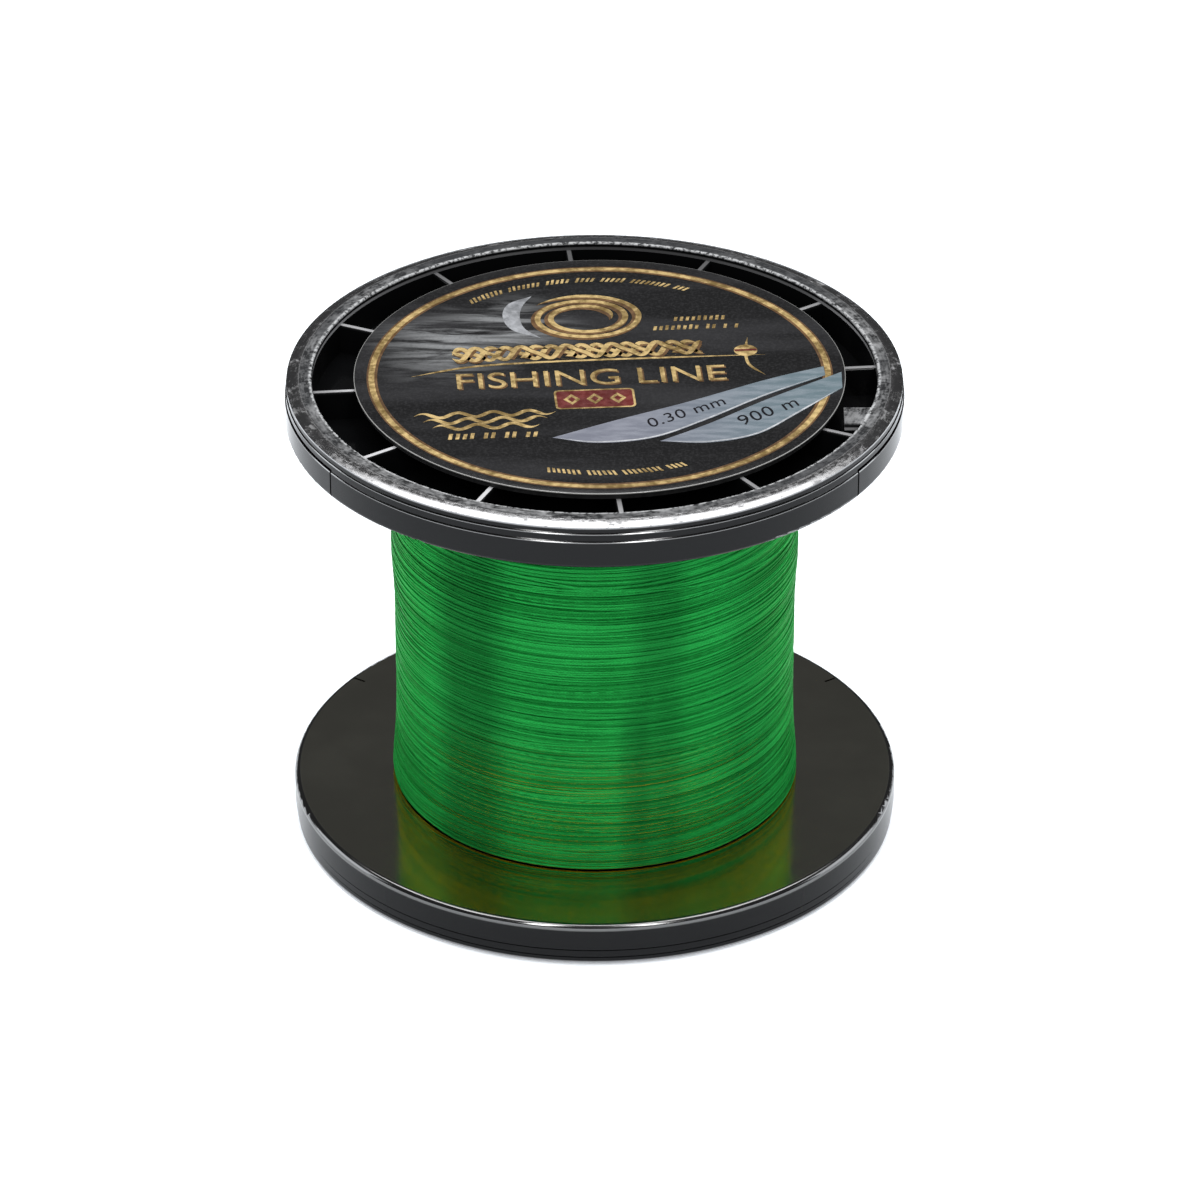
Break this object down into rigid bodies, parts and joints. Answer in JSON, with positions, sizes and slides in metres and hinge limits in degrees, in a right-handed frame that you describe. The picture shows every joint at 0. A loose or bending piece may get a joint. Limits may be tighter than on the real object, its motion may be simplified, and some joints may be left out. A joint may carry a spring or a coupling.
{
  "type": "fishing line spool",
  "caption": "Flat-flanged bulk spool of wound green fishing line, with ribbed flange recesses, a round label on top and a spindle bore from below.",
  "frame": {"origin": "middle of the circle that the lower rim rests on", "axes": "+Z along the spool's axis, towards the whole label; +X to the right of the label's artwork"},
  "size_m": [0.1, 0.1, 0.0815],
  "materials": {
    "flange_plastic": "polished black moulding, scuffed and grey on the rim's face",
    "core_plastic": "plain black moulding",
    "cover_board": "dark plastic sheet",
    "label_print": "glossy printed film, charcoal with gold and silver-blue print",
    "line": "braided line, bright green with a soft sheen",
    "tape": "clear-white adhesive tape"
  },
  "bodies": {
    "root": {"upper_flange": "flange_plastic", "lower_flange": "flange_plastic", "core_barrel": "core_plastic", "upper_cover_disc": "cover_board", "lower_cover_disc": "cover_board", "upper_label": "label_print", "lower_label": "label_print", "line_winding": "line", "arbor_tape": "tape"}
  },
  "joints": []
}
